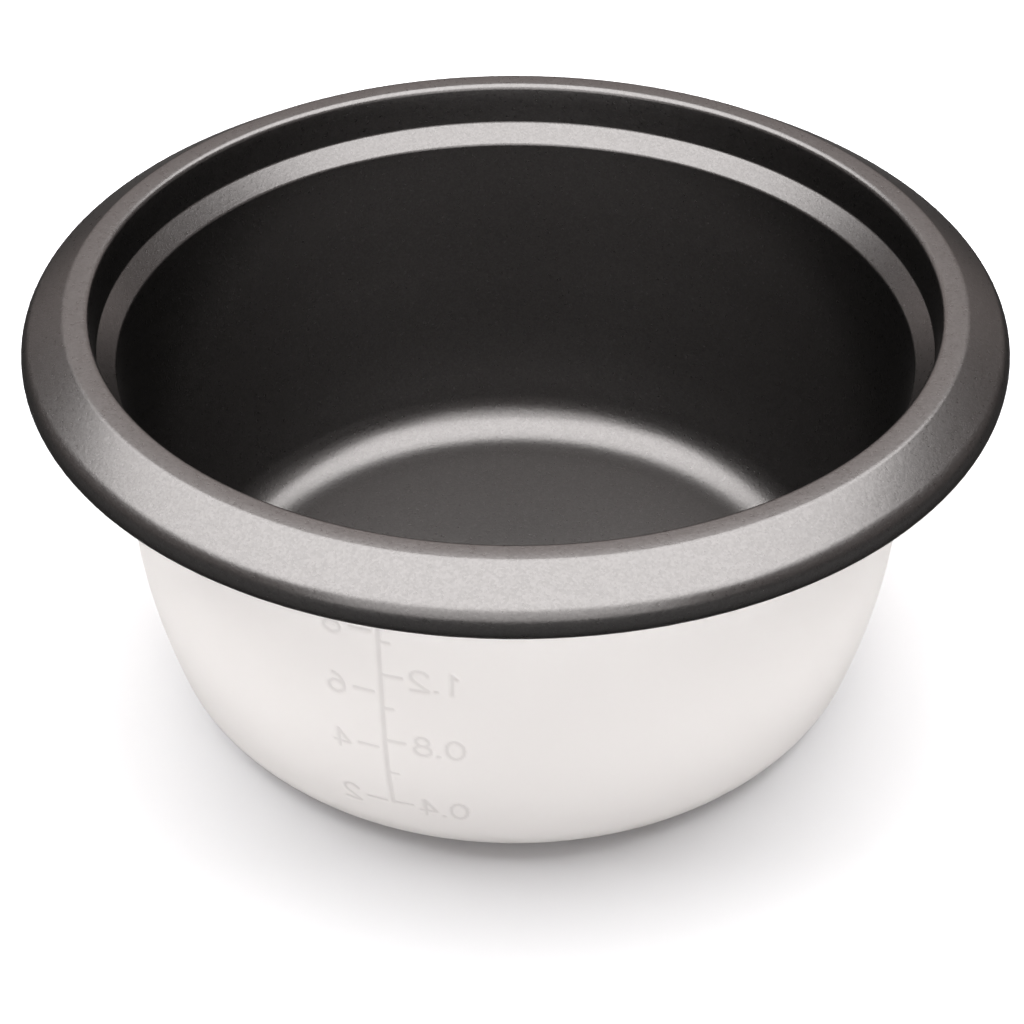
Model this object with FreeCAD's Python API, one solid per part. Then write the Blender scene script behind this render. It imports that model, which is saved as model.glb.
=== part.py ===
import FreeCAD, Part

# Inner cooking pot of a rice cooker. One aluminium sheet is pressed into a bowl with a
# ledge, an upright collar and a rolled rim. A non-stick lining covers its inner side and the
# top of the rim, and a pale coat covers its outer side. Level marks are pressed into the wall.
# Millimetres, +Z up, front towards -Y, origin under the middle of the base.

import math
import os

# Layers, from the inside out
LINING = 0.25             # stands in for a coat of about 0.04
SHEET = 1.2
COAT = 0.25               # stands in for a coat of about 0.04
COAT_CLEARANCE = 0.06     # the coat stops this far above the bench, so the bare base rests on it

# Bowl, measured on its lined side
POT_HEIGHT = 96.0         # bench to the flat top of the rim
BOWL_RADIUS = 86.1        # at the foot of the ledge
UPPER_DRAFT = 2.1         # degrees from the upright
LOWER_DRAFT = 14.0        # degrees from the upright
WALL_BEND_HEIGHT = 30.6   # where the two drafts meet
WALL_BEND_R = 144.0
FLOOR_CORNER_R = 12.8

# Mouth and rim, measured on their lined side
LEDGE_WIDTH = 4.0
LEDGE_DROP = 4.1
LEDGE_FILLET_R = 0.8      # where the ledge meets the collar
COLLAR_DEPTH = 9.8        # flat top of the rim to that fillet's corner
COLLAR_DRAFT = 3.0        # degrees from the upright
TOP_WIDTH = 5.3           # flat top of the rim, corner to corner
SKIRT_WIDTH = 9.5         # from the flat top to the widest point
SKIRT_ANGLE = 30.7        # degrees below the horizontal
ROLL_UPRIGHT = 0.2        # short upright band between the two bends of the roll
ROLL_LIP = 1.5            # straight end of the sheet, turned in under the rim
ROLL_R = 4.5
RIDGE_R = 2.0             # between the flat top and the skirt
FOLD_R = 1.3              # the tight folds at the collar's top and the ledge's foot
SHARP_R = 0.1             # least rounding on the hidden side of a tight fold

# Level scale, pressed in from outside so that it stands up inside
SCALE_AZIMUTH = -17.8     # degrees from the front, positive towards +X
RULE_WIDTH = 0.9
TICK_HEIGHT = 0.9
LITRE_LEVELS = (18.1, 38.4, 56.8, 74.6)
CUP_LEVELS = (17.8, 35.7, 51.6, 67.9)
LITRE_TICK = 4.3          # along the wall from the middle of the rule
HALF_TICK = 2.2
CUP_TICK = 4.2
CUP_TICK_GAP = 1.7        # from the middle of the rule
RIB_HEIGHT = 0.3          # on the lining
GROOVE_DEPTH = 0.15       # in the coat

STACK = LINING + SHEET + COAT
COLLAR_RADIUS = BOWL_RADIUS + LEDGE_WIDTH
AXIS = FreeCAD.Vector(0, 0, 1)
CENTRE = FreeCAD.Vector(0, 0, 0)


def lined_corners():
    """Corners of the lined side as (radius, height, rounding), from the floor's middle to the lip."""
    floor = SHEET + LINING
    ledge_top = POT_HEIGHT - COLLAR_DEPTH
    ledge_foot = ledge_top - LEDGE_DROP
    wall_bend = BOWL_RADIUS - math.tan(math.radians(UPPER_DRAFT)) * (ledge_foot - WALL_BEND_HEIGHT)
    floor_corner = wall_bend - math.tan(math.radians(LOWER_DRAFT)) * (WALL_BEND_HEIGHT - floor)

    mouth = COLLAR_RADIUS + math.tan(math.radians(COLLAR_DRAFT)) * COLLAR_DEPTH
    ridge = mouth + TOP_WIDTH
    rim = ridge + SKIRT_WIDTH
    skirt_foot = POT_HEIGHT - math.tan(math.radians(SKIRT_ANGLE)) * SKIRT_WIDTH
    upper_bend = math.radians(90 - SKIRT_ANGLE)
    underside = skirt_foot - ROLL_R * math.tan(upper_bend / 2) - ROLL_UPRIGHT - ROLL_R
    return [
        (0.0, floor, 0.0),
        (floor_corner, floor, FLOOR_CORNER_R),
        (wall_bend, WALL_BEND_HEIGHT, WALL_BEND_R),
        (BOWL_RADIUS, ledge_foot, FOLD_R),
        (COLLAR_RADIUS, ledge_top, LEDGE_FILLET_R),
        (mouth, POT_HEIGHT, FOLD_R),
        (ridge, POT_HEIGHT, RIDGE_R),
        (rim, skirt_foot, ROLL_R),
        (rim, underside, ROLL_R),
        (rim - ROLL_R - ROLL_LIP, underside, 0.0),
    ]


def direction(start, end):
    length = math.hypot(end[0] - start[0], end[1] - start[1])
    return (end[0] - start[0]) / length, (end[1] - start[1]) / length


def turn_between(before, after):
    """Signed angle from one direction to the next. A left turn is positive."""
    cross = before[0] * after[1] - before[1] * after[0]
    dot = before[0] * after[0] + before[1] * after[1]
    return math.atan2(cross, dot)


def sunk(corners, depth):
    """The same corners on a surface that lies this deep under the lined side."""
    ways = [direction(start, end) for start, end in zip(corners, corners[1:])]
    moved = []
    for i, (radius, height, rounding) in enumerate(corners):
        before = ways[max(i - 1, 0)]
        after = ways[min(i, len(ways) - 1)]
        turn = turn_between(before, after)
        # along the corner's bisector, far enough for both sides to move by the depth
        reach = depth / math.cos(turn / 2)
        along = direction((0, 0), (before[0] + after[0], before[1] + after[1]))
        if rounding:
            rounding = max(rounding + math.copysign(depth, turn), SHARP_R)
        moved.append((radius + along[1] * reach, height - along[0] * reach, rounding))
    return moved


def point(radius, height):
    return FreeCAD.Vector(radius, 0, height)


def rounded_edges(corners):
    """Lines and tangent arcs through the corners, each corner with its own rounding."""
    edges = []
    here = point(*corners[0][:2])
    for before, corner, after in zip(corners, corners[1:], corners[2:]):
        radius, height, rounding = corner
        way_in = direction(before, corner)
        way_out = direction(corner, after)
        turn = turn_between(way_in, way_out)
        setback = rounding * math.tan(abs(turn) / 2)
        start = point(radius - way_in[0] * setback, height - way_in[1] * setback)
        end = point(radius + way_out[0] * setback, height + way_out[1] * setback)
        # the middle of the arc lies between the corner and the arc's centre
        inward = direction(way_in, way_out)
        sag = rounding * (1 / math.cos(turn / 2) - 1)
        middle = point(radius + inward[0] * sag, height + inward[1] * sag)
        edges.append(Part.LineSegment(here, start).toShape())
        edges.append(Part.Arc(start, middle, end).toShape())
        here = end
    edges.append(Part.LineSegment(here, point(*corners[-1][:2])).toShape())
    return edges


def layer(top_depth, bottom_depth):
    """The solid between two depths under the lined side, turned about the pot's axis."""
    top = sunk(lined_corners(), top_depth)
    bottom = sunk(lined_corners(), bottom_depth)
    ends = [Part.LineSegment(point(*top[i][:2]), point(*bottom[i][:2])).toShape() for i in (0, -1)]
    outline = Part.Wire(Part.__sortEdges__(rounded_edges(top) + rounded_edges(bottom) + ends))
    return Part.Face(outline).revolve(CENTRE, AXIS, 360)


def wall_sector(low, high, start_angle, end_angle):
    """A slice that takes in the bowl's wall between two heights and two azimuths from the front."""
    slab = Part.makeCylinder(COLLAR_RADIUS, high - low, point(0, low), AXIS, end_angle - start_angle)
    slab.rotate(CENTRE, AXIS, start_angle - 90)
    return slab


def tick(level, start, end):
    """A level mark that runs between two distances along the wall from the rule."""
    azimuths = [SCALE_AZIMUTH + math.degrees(distance / BOWL_RADIUS) for distance in (start, end)]
    return wall_sector(level - TICK_HEIGHT / 2, level + TICK_HEIGHT / 2, *azimuths)


def scale_marks():
    """The rule, with litres on one side and cups on the other, as slices across the wall."""
    half_width = math.degrees(RULE_WIDTH / 2 / BOWL_RADIUS)
    lowest = min(LITRE_LEVELS[0], CUP_LEVELS[0]) - TICK_HEIGHT / 2
    highest = max(LITRE_LEVELS[-1], CUP_LEVELS[-1]) + TICK_HEIGHT / 2
    rule = wall_sector(lowest, highest, SCALE_AZIMUTH - half_width, SCALE_AZIMUTH + half_width)
    half_levels = [(low + high) / 2 for low, high in zip(LITRE_LEVELS, LITRE_LEVELS[1:])]
    ticks = [tick(level, 0, LITRE_TICK) for level in LITRE_LEVELS]
    ticks += [tick(level, 0, HALF_TICK) for level in half_levels]
    ticks += [tick(level, -CUP_TICK_GAP - CUP_TICK, -CUP_TICK_GAP) for level in CUP_LEVELS]
    return rule.multiFuse(ticks)


def nonstick_lining(marks):
    """Dark layer over the inside and the top of the rim, with the scale's ribs."""
    ribs = layer(-RIB_HEIGHT, LINING / 2).common(marks)
    return layer(0, LINING).fuse(ribs)


def pot_shell():
    """The pressed aluminium sheet."""
    return layer(LINING, LINING + SHEET)


def outer_coat(marks):
    """Pale layer over the outside and under the rim, with the scale's grooves and a bare base."""
    corner, bend = lined_corners()[1:3]
    wall_turn = turn_between((1, 0), direction(corner, bend))
    arc_centre = corner[0] - FLOOR_CORNER_R * math.tan(wall_turn / 2)
    outside_r = FLOOR_CORNER_R + STACK
    above_edge = outside_r - COAT - COAT_CLEARANCE
    bare_radius = arc_centre + math.sqrt(outside_r**2 - above_edge**2)
    bare_base = Part.makeCylinder(bare_radius, STACK + COAT, point(0, -COAT))
    grooves = layer(STACK - GROOVE_DEPTH, STACK + COAT).common(marks)
    return layer(LINING + SHEET, STACK).cut(bare_base).cut(grooves)


def main():
    os.makedirs("parts", exist_ok=True)
    marks = scale_marks()
    parts = {
        "pot_shell": pot_shell(),
        "nonstick_lining": nonstick_lining(marks),
        "outer_coat": outer_coat(marks),
    }
    for node, shape in parts.items():
        box = shape.optimalBoundingBox(False)
        print(f"{node}: {len(shape.Solids)} solid, valid {shape.isValid()}, {shape.Volume / 1000:.2f} cm3, "
              f"diameter {box.XLength:.2f}, height {box.ZMin:.2f} to {box.ZMax:.2f}")
        shape.exportStep(f"parts/{node}.step")


main()
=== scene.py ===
import math
from collections import namedtuple

import bpy
import numpy as np
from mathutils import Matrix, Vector


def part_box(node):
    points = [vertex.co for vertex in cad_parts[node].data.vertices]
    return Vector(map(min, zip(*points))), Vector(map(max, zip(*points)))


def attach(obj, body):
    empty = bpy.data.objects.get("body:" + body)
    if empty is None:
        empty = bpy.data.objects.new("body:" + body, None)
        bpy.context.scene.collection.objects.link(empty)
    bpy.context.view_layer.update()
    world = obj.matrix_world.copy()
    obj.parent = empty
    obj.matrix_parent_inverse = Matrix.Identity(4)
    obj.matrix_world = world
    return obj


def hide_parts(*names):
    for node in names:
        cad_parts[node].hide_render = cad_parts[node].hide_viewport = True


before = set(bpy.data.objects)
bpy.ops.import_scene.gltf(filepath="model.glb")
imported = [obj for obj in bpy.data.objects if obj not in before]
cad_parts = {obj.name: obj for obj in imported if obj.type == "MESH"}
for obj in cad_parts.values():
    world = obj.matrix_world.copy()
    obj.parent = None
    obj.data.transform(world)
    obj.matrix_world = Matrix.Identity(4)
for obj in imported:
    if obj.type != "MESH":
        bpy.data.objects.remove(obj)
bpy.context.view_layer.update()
rim_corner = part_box("nonstick_lining")[1]

MM = 0.001

# Layers of the wall, from the inside out
LINING = 0.25 * MM
SHEET = 1.2 * MM
COAT = 0.25 * MM
STACK = LINING + SHEET + COAT
COAT_CLEARANCE = 0.06 * MM

# The pot's sizes on its lined side, as in the CAD model
POT_HEIGHT = rim_corner[2]
RIM_RADIUS = rim_corner[0]
SKIRT_WIDTH = 9.5 * MM
SKIRT_ANGLE = math.radians(30.7)
TOP_WIDTH = 5.3 * MM
COLLAR_DEPTH = 9.8 * MM
COLLAR_DRAFT = math.radians(3)
LEDGE_WIDTH = 4.0 * MM
LEDGE_DROP = 4.1 * MM
LEDGE_FILLET = 0.8 * MM
UPPER_DRAFT = math.radians(2.1)
LOWER_DRAFT = math.radians(14)
WALL_BEND_HEIGHT = 30.6 * MM
WALL_BEND = 144 * MM
FLOOR_CORNER = 12.8 * MM
FOLD = 1.3 * MM
RIDGE = 2.0 * MM
ROLL = 4.5 * MM
ROLL_UPRIGHT = 0.2 * MM
ROLL_LIP = 1.5 * MM
SHARP = 0.1 * MM

# Level scale. Distances run along the wall from the rule, positive towards +X
FRONT = -90
SCALE_AZIMUTH = math.radians(FRONT - 17.8)
SCALE_RADIUS = 86.8 * MM
LITRE_LEVELS = {"0.4": 18.1 * MM, "0.8": 38.4 * MM, "1.2": 56.8 * MM, "1.6": 74.6 * MM}
CUP_LEVELS = {"2": 17.8 * MM, "4": 35.7 * MM, "6": 51.6 * MM, "8": 67.9 * MM}
LITRE_TICK = 4.3 * MM
HALF_TICK = 2.2 * MM
CUP_TICK = (-5.9 * MM, -1.7 * MM)
LITRE_NUMBER = 8.0 * MM
CUP_NUMBER = -9.8 * MM
DIGIT_HEIGHT = 5.2 * MM
DIGIT_WIDTH = 3.6 * MM
DIGIT_PITCH = 6.8 * MM
POINT_PLACE = 3.3 * MM
STROKE = 0.3 * MM
STROKE_EDGE = 0.35 * MM
GROOVE_DEPTH = 0.2 * MM
RIB_HEIGHT = 0.3 * MM

# Mesh spacing and limits
MARK_ROW = 0.4 * MM
PLAIN_ROW = 6 * MM
FINE_BEND = 0.5 * MM
HIDDEN_BEND = 1.5 * MM
LEAST_BEND_STEPS = 4
MARK_SECTOR = math.radians(24)
MARK_STEPS = 96
PLAIN_STEPS = 144
BOW_POINTS = 13
MERGE_DISTANCE = 0.002 * MM
LEAST_FACING = 0.5
SMOOTH_ANGLE = math.radians(50)

# Colours of the finishes. Each pair runs from the darker to the paler one
FLAKE_GREYS = ((0.138, 0.133, 0.131, 1), (0.18, 0.173, 0.171, 1))
FLAKE_EDGE_TINT = (0.35, 0.35, 0.35, 1)
CREAMS = ((0.80, 0.777, 0.755, 1), (0.83, 0.809, 0.789, 1))
# Painted shade: the coat's colour darkens towards this colour, by up to this share, in the pressed
# grooves, standing in for the shade that falls in them
PAINTED_GROOVE_SHADE = (0.42, 0.40, 0.385, 1)
PAINTED_GROOVE_SHADE_SHARE = 0.3
ALUMINIUM_GREYS = ((0.66, 0.66, 0.66, 1), (0.80, 0.80, 0.795, 1))
FLOOR_WHITE = (0.74, 0.747, 0.76, 1)
FLOOR_DIM = (0.1, 0.1, 0.1, 1)
WHITE = (1, 1, 1, 1)

# Camera, read from the ellipses of the rim, the ledge and the base
FOCAL_PIXELS = 2229
IMAGE_PIXELS = 1024
SENSOR = 36
NEAR_CLIP = 0.01
CAMERA_PLACE = Vector((-0.74, -408.4, 348.2)) * MM
CAMERA_PITCH = math.radians(37.65)

# Studio: the floor, the room all round and the brighter backdrop behind the pot
FLOOR_SIZE = 6
ROOM_TINT = (1, 0.89, 0.86, 1)
ROOM_LIGHT = 0.3
BACKDROP_LIGHT = 1.2
# The backdrop fades in between these two values of a direction's Y and of its Z
BACKDROP_REAR = (0.64, 0.84)
BACKDROP_RISE = (-1 / 12, 1 / 12)

Softbox = namedtuple("Softbox", "name place aim width depth radiance")

# Panels that only glossy surfaces mirror
MIRRORED_PANELS = [
    Softbox("overhead", (-0.13, 0, 0.9), (-0.13, 0, 0), 2.04, 1.44, 3.9),
    Softbox("front_glow", (-0.1, -1.2, 0.95), (-0.1, 0, 0.09), 1.8, 0.9, 1.6),
    Softbox("front_fill", (-0.1, -1.2, 0.3), (-0.1, 0, 0.3), 1.8, 0.42, 1.2),
]

# Lamps that light matt surfaces, above all the floor, which throws light onto the outer coat
MATT_LAMPS = [
    Softbox("top_light", (-0.1, 0.07, 0.9), (-0.1, 0.07, 0), 2.0, 0.85, 10.5),
    Softbox("front_key", (-0.1, -1.1, 0.5), (-0.1, 0, 0.07), 1.8, 0.4, 1.2),
]

Corner = namedtuple("Corner", "radius height rounding row bend_row")


def lined_corners(wall_row, bend_row):
    """Corners of the lined side, from the middle of the floor to the lip under the rim."""
    floor = SHEET + LINING
    ridge = RIM_RADIUS - SKIRT_WIDTH
    mouth = ridge - TOP_WIDTH
    collar = mouth - math.tan(COLLAR_DRAFT) * COLLAR_DEPTH
    bowl = collar - LEDGE_WIDTH
    ledge_top = POT_HEIGHT - COLLAR_DEPTH
    ledge_foot = ledge_top - LEDGE_DROP
    wall_bend = bowl - math.tan(UPPER_DRAFT) * (ledge_foot - WALL_BEND_HEIGHT)
    floor_corner = wall_bend - math.tan(LOWER_DRAFT) * (WALL_BEND_HEIGHT - floor)
    skirt_foot = POT_HEIGHT - math.tan(SKIRT_ANGLE) * SKIRT_WIDTH
    half_turn = (math.pi / 2 - SKIRT_ANGLE) / 2
    underside = skirt_foot - ROLL * math.tan(half_turn) - ROLL_UPRIGHT - ROLL
    return [
        Corner(0, floor, 0, PLAIN_ROW, bend_row),
        Corner(floor_corner, floor, FLOOR_CORNER, PLAIN_ROW, bend_row),
        Corner(wall_bend, WALL_BEND_HEIGHT, WALL_BEND, wall_row, wall_row),
        Corner(bowl, ledge_foot, FOLD, wall_row, bend_row),
        Corner(collar, ledge_top, LEDGE_FILLET, PLAIN_ROW, bend_row),
        Corner(mouth, POT_HEIGHT, FOLD, PLAIN_ROW, bend_row),
        Corner(ridge, POT_HEIGHT, RIDGE, PLAIN_ROW, bend_row),
        Corner(RIM_RADIUS, skirt_foot, ROLL, PLAIN_ROW, bend_row),
        Corner(RIM_RADIUS, underside, ROLL, PLAIN_ROW, bend_row),
        Corner(RIM_RADIUS - ROLL - ROLL_LIP, underside, 0, PLAIN_ROW, bend_row),
    ]


def way(start, end):
    return Vector((end[0] - start[0], end[1] - start[1])).normalized()


def turn_between(before, after):
    """Signed angle from one direction to the next. A left turn is positive."""
    return math.atan2(before.x * after.y - before.y * after.x, before.dot(after))


def sunk(corners, depth):
    """The same corners on a surface that lies this deep under the lined side."""
    ways = [way(start, end) for start, end in zip(corners, corners[1:])]
    moved = []
    for i, corner in enumerate(corners):
        before, after = ways[max(i - 1, 0)], ways[min(i, len(ways) - 1)]
        turn = turn_between(before, after)
        along = (before + after).normalized() * depth / math.cos(turn / 2)
        rounding = max(corner.rounding + math.copysign(depth, turn), SHARP) if corner.rounding else 0
        moved.append(corner._replace(radius=corner.radius + along.y, height=corner.height - along.x,
                                     rounding=rounding))
    return moved


def backwards(corners):
    """The same path from its other end, with each line's row kept."""
    rows = [corner.row for corner in corners[1:]] + [corners[-1].row]
    return [corner._replace(row=row) for corner, row in zip(corners, rows)][::-1]


def in_space(place):
    """A point of the profile, in the upright plane where the spin starts."""
    start = SCALE_AZIMUTH - MARK_SECTOR / 2
    return Vector((place[0] * math.cos(start), place[0] * math.sin(start), place[1]))


def draw_line(start, end, row):
    """Extrudes the selected vertex from start to end in even steps."""
    span = in_space(end) - in_space(start)
    steps = max(1, math.ceil(span.length / row))
    for _ in range(steps):
        bpy.ops.mesh.extrude_region_move(TRANSFORM_OT_translate={"value": span / steps})


def draw_path(corners):
    """Draws lines and round bends through the corners, from the vertex that is selected."""
    here = Vector(corners[0][:2])
    side = in_space((0, 1)).cross(in_space((1, 0))).normalized()
    for before, corner, after in zip(corners, corners[1:], corners[2:]):
        way_in, way_out = way(before, corner), way(corner, after)
        turn = turn_between(way_in, way_out)
        setback = corner.rounding * math.tan(abs(turn) / 2)
        place = Vector(corner[:2])
        start = place - way_in * setback
        left = Vector((-way_in.y, way_in.x))
        centre = start + left * math.copysign(corner.rounding, turn)
        draw_line(here, start, corner.row)
        steps = max(LEAST_BEND_STEPS, math.ceil(corner.rounding * abs(turn) / corner.bend_row))
        bpy.ops.mesh.spin(steps=steps, angle=turn, center=in_space(centre), axis=side)
        here = place + way_out * setback
    draw_line(here, corners[-1][:2], corners[-1].row)


def spun_layer(name, top_depth, bottom_depth, top_rows, bottom_rows):
    """A closed layer of the wall, drawn as a profile and spun round the pot's axis."""
    top = sunk(lined_corners(*top_rows), top_depth)
    bottom = backwards(sunk(lined_corners(*bottom_rows), bottom_depth))
    bpy.ops.object.select_all(action="DESELECT")
    bpy.ops.mesh.primitive_plane_add(size=MM)
    piece = bpy.context.object
    piece.name = name
    bpy.ops.object.mode_set(mode="EDIT")
    bpy.ops.mesh.merge(type="CENTER")
    bpy.ops.transform.translate(value=in_space(top[0]))
    draw_path(top)
    draw_line(top[-1][:2], bottom[0][:2], PLAIN_ROW)
    draw_path(bottom)
    bpy.ops.mesh.select_all(action="SELECT")
    bpy.ops.mesh.spin(steps=MARK_STEPS, angle=-MARK_SECTOR, axis=(0, 0, 1))
    bpy.ops.mesh.spin(steps=PLAIN_STEPS, angle=MARK_SECTOR - 2 * math.pi, axis=(0, 0, 1))
    bpy.ops.mesh.select_all(action="SELECT")
    bpy.ops.mesh.remove_doubles(threshold=MERGE_DISTANCE)
    bpy.ops.mesh.normals_make_consistent(inside=False)
    bpy.ops.object.mode_set(mode="OBJECT")
    return piece


def bare_the_base(piece):
    """Cuts the coat off level, just above the surface that the pot stands on."""
    bpy.context.view_layer.objects.active = piece
    bpy.ops.object.mode_set(mode="EDIT")
    bpy.ops.mesh.select_all(action="SELECT")
    bpy.ops.mesh.bisect(plane_co=(0, 0, COAT_CLEARANCE), plane_no=(0, 0, 1), clear_inner=True)
    bpy.ops.mesh.bridge_edge_loops()
    bpy.ops.mesh.select_all(action="SELECT")
    bpy.ops.mesh.normals_make_consistent(inside=False)
    bpy.ops.object.mode_set(mode="OBJECT")


def bow(x, y, width, height, start, end):
    """Points along part of an ellipse, from one angle to another in degrees."""
    angles = np.radians(np.linspace(start, end, BOW_POINTS))
    return [(x + width * math.cos(a), y + height * math.sin(a)) for a in angles]


# Strokes of the numbers as read from inside the pot, in a box one unit wide and one high
DIGITS = {
    "0": [bow(0, 0, 0.5, 0.5, 0, 360)],
    "1": [[(-0.22, 0.28), (0.06, 0.5), (0.06, -0.5)]],
    "2": [bow(0, 0.2, 0.48, 0.3, 165, -40) + [(-0.5, -0.5), (0.5, -0.5)]],
    "4": [[(0.5, -0.22), (-0.5, -0.22), (0.2, 0.5), (0.2, -0.5)]],
    "6": [bow(0, -0.2, 0.48, 0.3, 0, 360), bow(0.32, -0.2, 0.8, 0.7, 180, 100)],
    "8": [bow(0, 0.26, 0.38, 0.24, 0, 360), bow(0, -0.24, 0.48, 0.26, 0, 360)],
    ".": [[(-0.04, -0.46), (0.04, -0.46)]],
}


def number_strokes(text, place, level):
    """Strokes of a number that reads from inside, so it runs towards the rule seen from outside."""
    strokes = []
    offsets = {1: [0], 3: [DIGIT_PITCH, POINT_PLACE, 0]}[len(text)]
    for sign, offset in zip(text, offsets):
        for stroke in DIGITS[sign]:
            strokes.append([(place + offset - x * DIGIT_WIDTH, level + y * DIGIT_HEIGHT)
                            for x, y in stroke])
    return strokes


def scale_strokes():
    """The rule, its ticks and its numbers, as lines of (distance along the wall, height)."""
    litres = list(LITRE_LEVELS.values())
    lowest = min(litres[0], *CUP_LEVELS.values())
    strokes = [[(0, lowest), (0, litres[-1])]]
    for text, level in LITRE_LEVELS.items():
        strokes.append([(0, level), (LITRE_TICK, level)])
        strokes += number_strokes(text, LITRE_NUMBER, level)
    for low, high in zip(litres, litres[1:]):
        strokes.append([(0, (low + high) / 2), (HALF_TICK, (low + high) / 2)])
    for text, level in CUP_LEVELS.items():
        strokes.append([(CUP_TICK[0], level), (CUP_TICK[1], level)])
        strokes += number_strokes(text, CUP_NUMBER, level)
    return strokes


def press_at(spots):
    """How fully each spot (distance along the wall, height) is pressed, from 0 to 1 inside a stroke."""
    nearest = np.full(len(spots), np.inf)
    for stroke in scale_strokes():
        for start, end in zip(np.array(stroke), np.array(stroke)[1:]):
            span = end - start
            share = np.clip((spots - start) @ span / (span @ span), 0, 1)
            nearest = np.minimum(nearest, np.linalg.norm(spots - start - share[:, None] * span, axis=1))
    press = np.clip((STROKE + STROKE_EDGE - nearest) / STROKE_EDGE, 0, 1)
    return press * press * (3 - 2 * press)


def vertex_vectors(piece, kind):
    """The places or normals of a piece's vertices, as rows of an array."""
    vectors = np.empty(len(piece.data.vertices) * 3)
    piece.data.vertices.foreach_get(kind, vectors)
    return vectors.reshape(-1, 3)


def press_scale(piece, outward, strength):
    """Presses the scale into the side that faces outward, or up on the side that faces the axis."""
    x, y, height = vertex_vectors(piece, "co").T
    normal_x, normal_y, _ = vertex_vectors(piece, "normal").T
    radius = np.hypot(x, y)
    facing = (normal_x * x + normal_y * y) / np.maximum(radius, MM)
    along = (np.arctan2(y, x) - SCALE_AZIMUTH) * SCALE_RADIUS
    in_sector = np.abs(along) < MARK_SECTOR / 2 * SCALE_RADIUS
    on_wall = in_sector & (facing * outward > LEAST_FACING) & (radius < RIM_RADIUS - SKIRT_WIDTH)
    chosen = np.nonzero(on_wall)[0]
    press = press_at(np.stack([along[chosen], height[chosen]], axis=1))
    pressed = np.zeros(len(radius))
    pressed[chosen] = press
    # the pressed weights, which the coat's material reads to paint shade into its grooves
    piece.data.attributes.new("pressed", "FLOAT", "POINT").data.foreach_set("value", pressed)
    group = piece.vertex_groups.new(name="scale")
    for index, weight in zip(chosen[press > 0], press[press > 0]):
        group.add([int(index)], float(weight), "REPLACE")
    bpy.context.view_layer.objects.active = piece
    displace = piece.modifiers.new("scale", "DISPLACE")
    displace.vertex_group = group.name
    displace.mid_level = 0
    displace.strength = strength
    bpy.ops.object.modifier_apply(modifier=displace.name)


class Signal:
    """A shader socket. Sums on it add the Math nodes that work them out."""

    def __init__(self, tree, output):
        self.tree = tree
        self.output = output

    @classmethod
    def make(cls, tree, kind, settings=None, values=None, output=0):
        """Any node: its settings are set first, then its sockets get values or links."""
        node = tree.nodes.new(kind)
        for name, setting in (settings or {}).items():
            setattr(node, name, setting)
        for name, value in (values or {}).items():
            if isinstance(value, Signal):
                tree.links.new(value.output, node.inputs[name])
            else:
                node.inputs[name].default_value = value
        return cls(tree, node.outputs[output]) if node.outputs else None

    def math(self, operation, first, second):
        return Signal.make(self.tree, "ShaderNodeMath", {"operation": operation}, {0: first, 1: second})

    def __add__(self, other):
        return self.math("ADD", self, other)

    __radd__ = __add__

    def __sub__(self, other):
        return self.math("SUBTRACT", self, other)

    def __rsub__(self, other):
        return self.math("SUBTRACT", other, self)

    def __mul__(self, other):
        return self.math("MULTIPLY", self, other)

    __rmul__ = __mul__

    def __pow__(self, other):
        return self.math("POWER", self, other)

    def blend(self, low, high):
        """A colour between two, as this signal goes from 0 to 1."""
        # the Mix node's sockets for colours come after those for numbers and vectors
        return Signal.make(self.tree, "ShaderNodeMix", {"data_type": "RGBA"},
                           {0: self, 6: low, 7: high}, output=2)

    def fade(self, start, full):
        """Goes from 0 to 1 as this signal goes from start to full."""
        return Signal.make(self.tree, "ShaderNodeClamp", None, {0: (self - start) * (1 / (full - start))})

    def noise(self, scale, detail):
        """Cloudy noise over this place."""
        return Signal.make(self.tree, "ShaderNodeTexNoise", None,
                           {"Vector": self, "Scale": scale, "Detail": detail})

    def relief(self, strength, distance):
        """A normal that takes this signal for the surface's height."""
        return Signal.make(self.tree, "ShaderNodeBump", None,
                           {"Height": self, "Strength": strength, "Distance": distance})


def new_material(name):
    """An empty material and its node tree."""
    material = bpy.data.materials.new(name)
    material.use_nodes = True
    tree = material.node_tree
    tree.nodes.clear()
    return material, tree


def finish_material(tree, values):
    """A Principled surface with these values and links, wired to the material's output."""
    surface = Signal.make(tree, "ShaderNodeBsdfPrincipled", None, values)
    Signal.make(tree, "ShaderNodeOutputMaterial", None, {"Surface": surface})


def flake_lining():
    """Dark grey non-stick coat with fine metal flake."""
    material, tree = new_material("flake_lining")
    place = Signal.make(tree, "ShaderNodeTexCoord", output="Object")
    cells = Signal.make(tree, "ShaderNodeTexVoronoi", None, {"Vector": place, "Scale": 2400},
                        output="Color")
    flake = Signal.make(tree, "ShaderNodeSeparateColor", None, {"Color": cells}, output="Red")
    cloud = place.noise(scale=1100, detail=3)
    height = cloud * 0.6 + flake * 0.4
    glint = flake * 0.6 + cloud * 0.4
    finish_material(tree, {
        "Base Color": glint.blend(*FLAKE_GREYS), "Metallic": 1.0, "Roughness": 0.24 + 0.1 * cloud,
        "Specular Tint": FLAKE_EDGE_TINT, "Normal": height.relief(strength=0.35, distance=0.1 * MM),
    })
    return material


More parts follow.
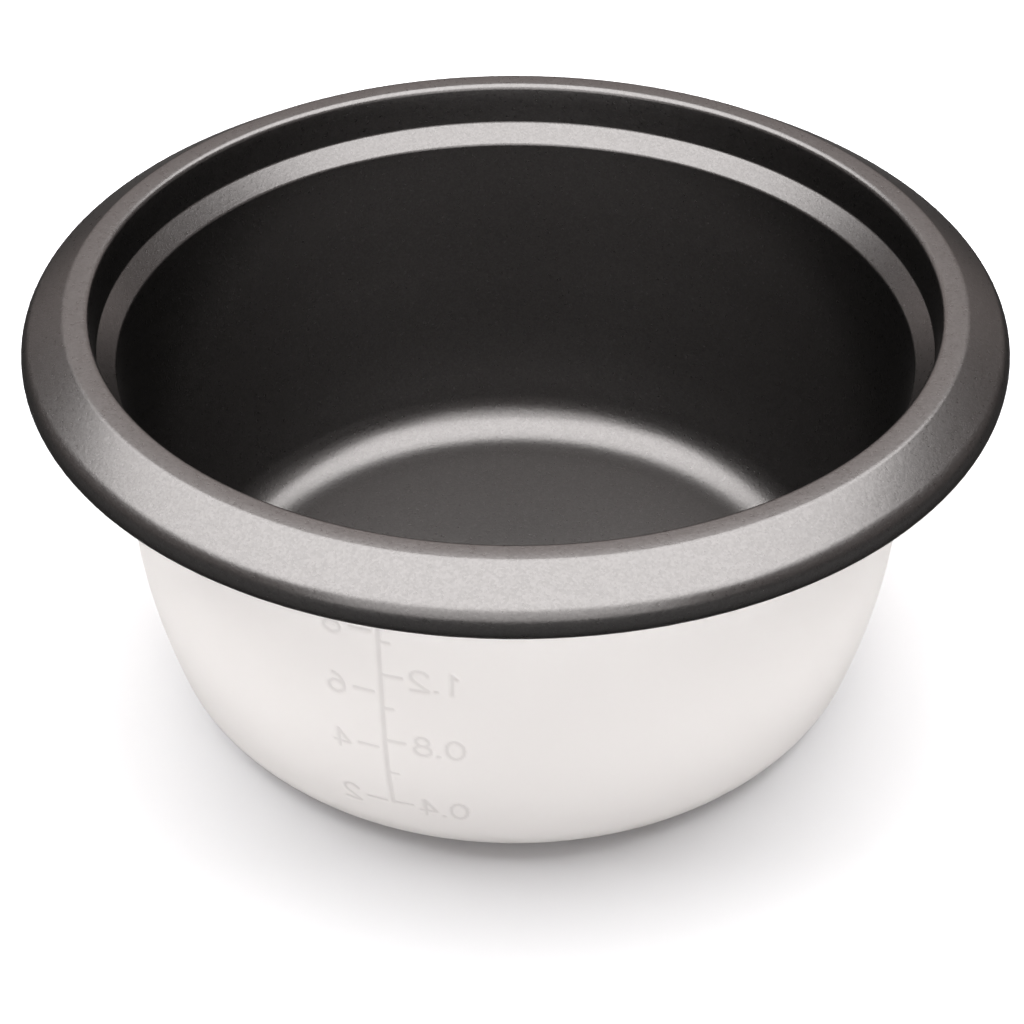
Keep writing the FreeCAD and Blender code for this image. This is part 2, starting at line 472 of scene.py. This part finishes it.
def cream_coat():
    """Warm white satin coat with a faint orange-peel surface, with shade painted into its colour in the
    pressed marks.
    """
    material, tree = new_material("cream_coat")
    place = Signal.make(tree, "ShaderNodeTexCoord", output="Object")
    peel = place.noise(scale=500, detail=2)
    cloud = place.noise(scale=18, detail=3)
    pressed = Signal.make(tree, "ShaderNodeAttribute", {"attribute_name": "pressed"}, output="Fac")
    # painted shade: the coat's colour darkens where the scale is pressed in
    painted_shade = pressed ** 2 * PAINTED_GROOVE_SHADE_SHARE
    finish_material(tree, {
        "Base Color": painted_shade.blend(cloud.blend(*CREAMS), PAINTED_GROOVE_SHADE), "Roughness": 0.38 + 0.1 * peel,
        "Normal": peel.relief(strength=0.12, distance=0.03 * MM),
    })
    return material


def turned_aluminium():
    """Bare aluminium with the fine rings of a turned face."""
    material, tree = new_material("turned_aluminium")
    place = Signal.make(tree, "ShaderNodeTexCoord", output="Object")
    flat = Signal.make(tree, "ShaderNodeVectorMath", {"operation": "MULTIPLY"}, {0: place, 1: (1, 1, 0)})
    radius = Signal.make(tree, "ShaderNodeVectorMath", {"operation": "LENGTH"}, {0: flat}, output="Value")
    rings = Signal.make(tree, "ShaderNodeTexNoise", {"noise_dimensions": "1D"},
                        {"W": radius, "Scale": 2200, "Detail": 4})
    finish_material(tree, {
        "Base Color": rings.blend(*ALUMINIUM_GREYS), "Metallic": 1.0, "Roughness": 0.28 + 0.2 * rings,
        "Normal": rings.relief(strength=0.3, distance=0.05 * MM),
    })
    return material


def white_floor():
    """A white floor that lights the outer coat and shows only dimly in the glossy lining."""
    material, tree = new_material("white_floor")
    glossy = Signal.make(tree, "ShaderNodeLightPath", output="Is Glossy Ray")
    dim = Signal.make(tree, "ShaderNodeBsdfDiffuse", None, {"Color": FLOOR_DIM})
    white = Signal.make(tree, "ShaderNodeBsdfDiffuse", None, {"Color": FLOOR_WHITE})
    seen = Signal.make(tree, "ShaderNodeMixShader", None, {0: glossy, 1: white, 2: dim})
    Signal.make(tree, "ShaderNodeOutputMaterial", None, {"Surface": seen})
    return material


def dress(piece, node, material):
    """Gives a piece its finish, its body and smooth shading, and hides the CAD node that it stands for.
    """
    piece.data.materials.append(material)
    bpy.ops.object.select_all(action="DESELECT")
    piece.select_set(True)
    bpy.context.view_layer.objects.active = piece
    bpy.ops.object.shade_smooth_by_angle(angle=SMOOTH_ANGLE)
    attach(piece, "root")
    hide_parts(node)


def make_pot():
    marked = (MARK_ROW, FINE_BEND)
    hidden = (PLAIN_ROW, HIDDEN_BEND)
    lining = spun_layer("lining", 0, LINING, marked, hidden)
    shell = spun_layer("shell", LINING, LINING + SHEET, hidden, hidden)
    coat = spun_layer("coat", LINING + SHEET, STACK, hidden, marked)
    bare_the_base(coat)
    press_scale(lining, -1, RIB_HEIGHT)
    press_scale(coat, 1, -GROOVE_DEPTH)
    dress(lining, "nonstick_lining", flake_lining())
    dress(shell, "pot_shell", turned_aluminium())
    dress(coat, "outer_coat", cream_coat())


def make_camera():
    lens = bpy.data.cameras.new("camera")
    lens.sensor_width = SENSOR
    lens.lens = FOCAL_PIXELS / IMAGE_PIXELS * SENSOR
    lens.clip_start = NEAR_CLIP
    camera = bpy.data.objects.new("camera", lens)
    bpy.context.collection.objects.link(camera)
    camera.location = CAMERA_PLACE
    camera.rotation_euler = (math.pi / 2 - CAMERA_PITCH, 0, 0)
    bpy.context.scene.camera = camera


def make_floor():
    bpy.ops.object.select_all(action="DESELECT")
    bpy.ops.mesh.primitive_plane_add(size=FLOOR_SIZE)
    floor = bpy.context.object
    floor.name = "floor"
    floor.data.materials.append(white_floor())


def make_world():
    """A dim warm room with a brighter backdrop at the rear, which the camera sees as plain white."""
    world = bpy.data.worlds.new("studio")
    world.use_nodes = True
    bpy.context.scene.world = world
    tree = world.node_tree
    tree.nodes.clear()
    toward = Signal.make(tree, "ShaderNodeTexCoord", output="Generated")
    depth = Signal.make(tree, "ShaderNodeSeparateXYZ", None, {0: toward}, output="Y")
    height = Signal.make(tree, "ShaderNodeSeparateXYZ", None, {0: toward}, output="Z")
    rear = depth.fade(*BACKDROP_REAR) * height.fade(*BACKDROP_RISE)
    rays = Signal.make(tree, "ShaderNodeLightPath", output="Is Camera Ray")
    room, backdrop, white = [
        Signal.make(tree, "ShaderNodeBackground", None, {"Color": colour, "Strength": strength})
        for colour, strength in ((ROOM_TINT, ROOM_LIGHT), (ROOM_TINT, BACKDROP_LIGHT), (WHITE, 1))]
    around = Signal.make(tree, "ShaderNodeMixShader", None, {0: rear, 1: room, 2: backdrop})
    seen = Signal.make(tree, "ShaderNodeMixShader", None, {0: rays, 1: around, 2: white})
    Signal.make(tree, "ShaderNodeOutputWorld", None, {"Surface": seen})


def make_softbox(box):
    """A lamp panel that faces a point and has the same brightness all over."""
    lamp = bpy.data.lights.new(box.name, "AREA")
    lamp.shape = "RECTANGLE"
    lamp.size, lamp.size_y = box.width, box.depth
    lamp.energy = box.radiance * math.pi * box.width * box.depth
    panel = bpy.data.objects.new(box.name, lamp)
    bpy.context.collection.objects.link(panel)
    panel.location = box.place
    panel.rotation_euler = (Vector(box.aim) - Vector(box.place)).to_track_quat("-Z", "Y").to_euler()
    return panel


def make_lamps():
    for box in MIRRORED_PANELS:
        make_softbox(box).visible_diffuse = False
    for box in MATT_LAMPS:
        make_softbox(box).visible_glossy = False


make_pot()
make_camera()
make_floor()
make_world()
make_lamps()
bpy.context.scene.view_settings.view_transform = "Standard"
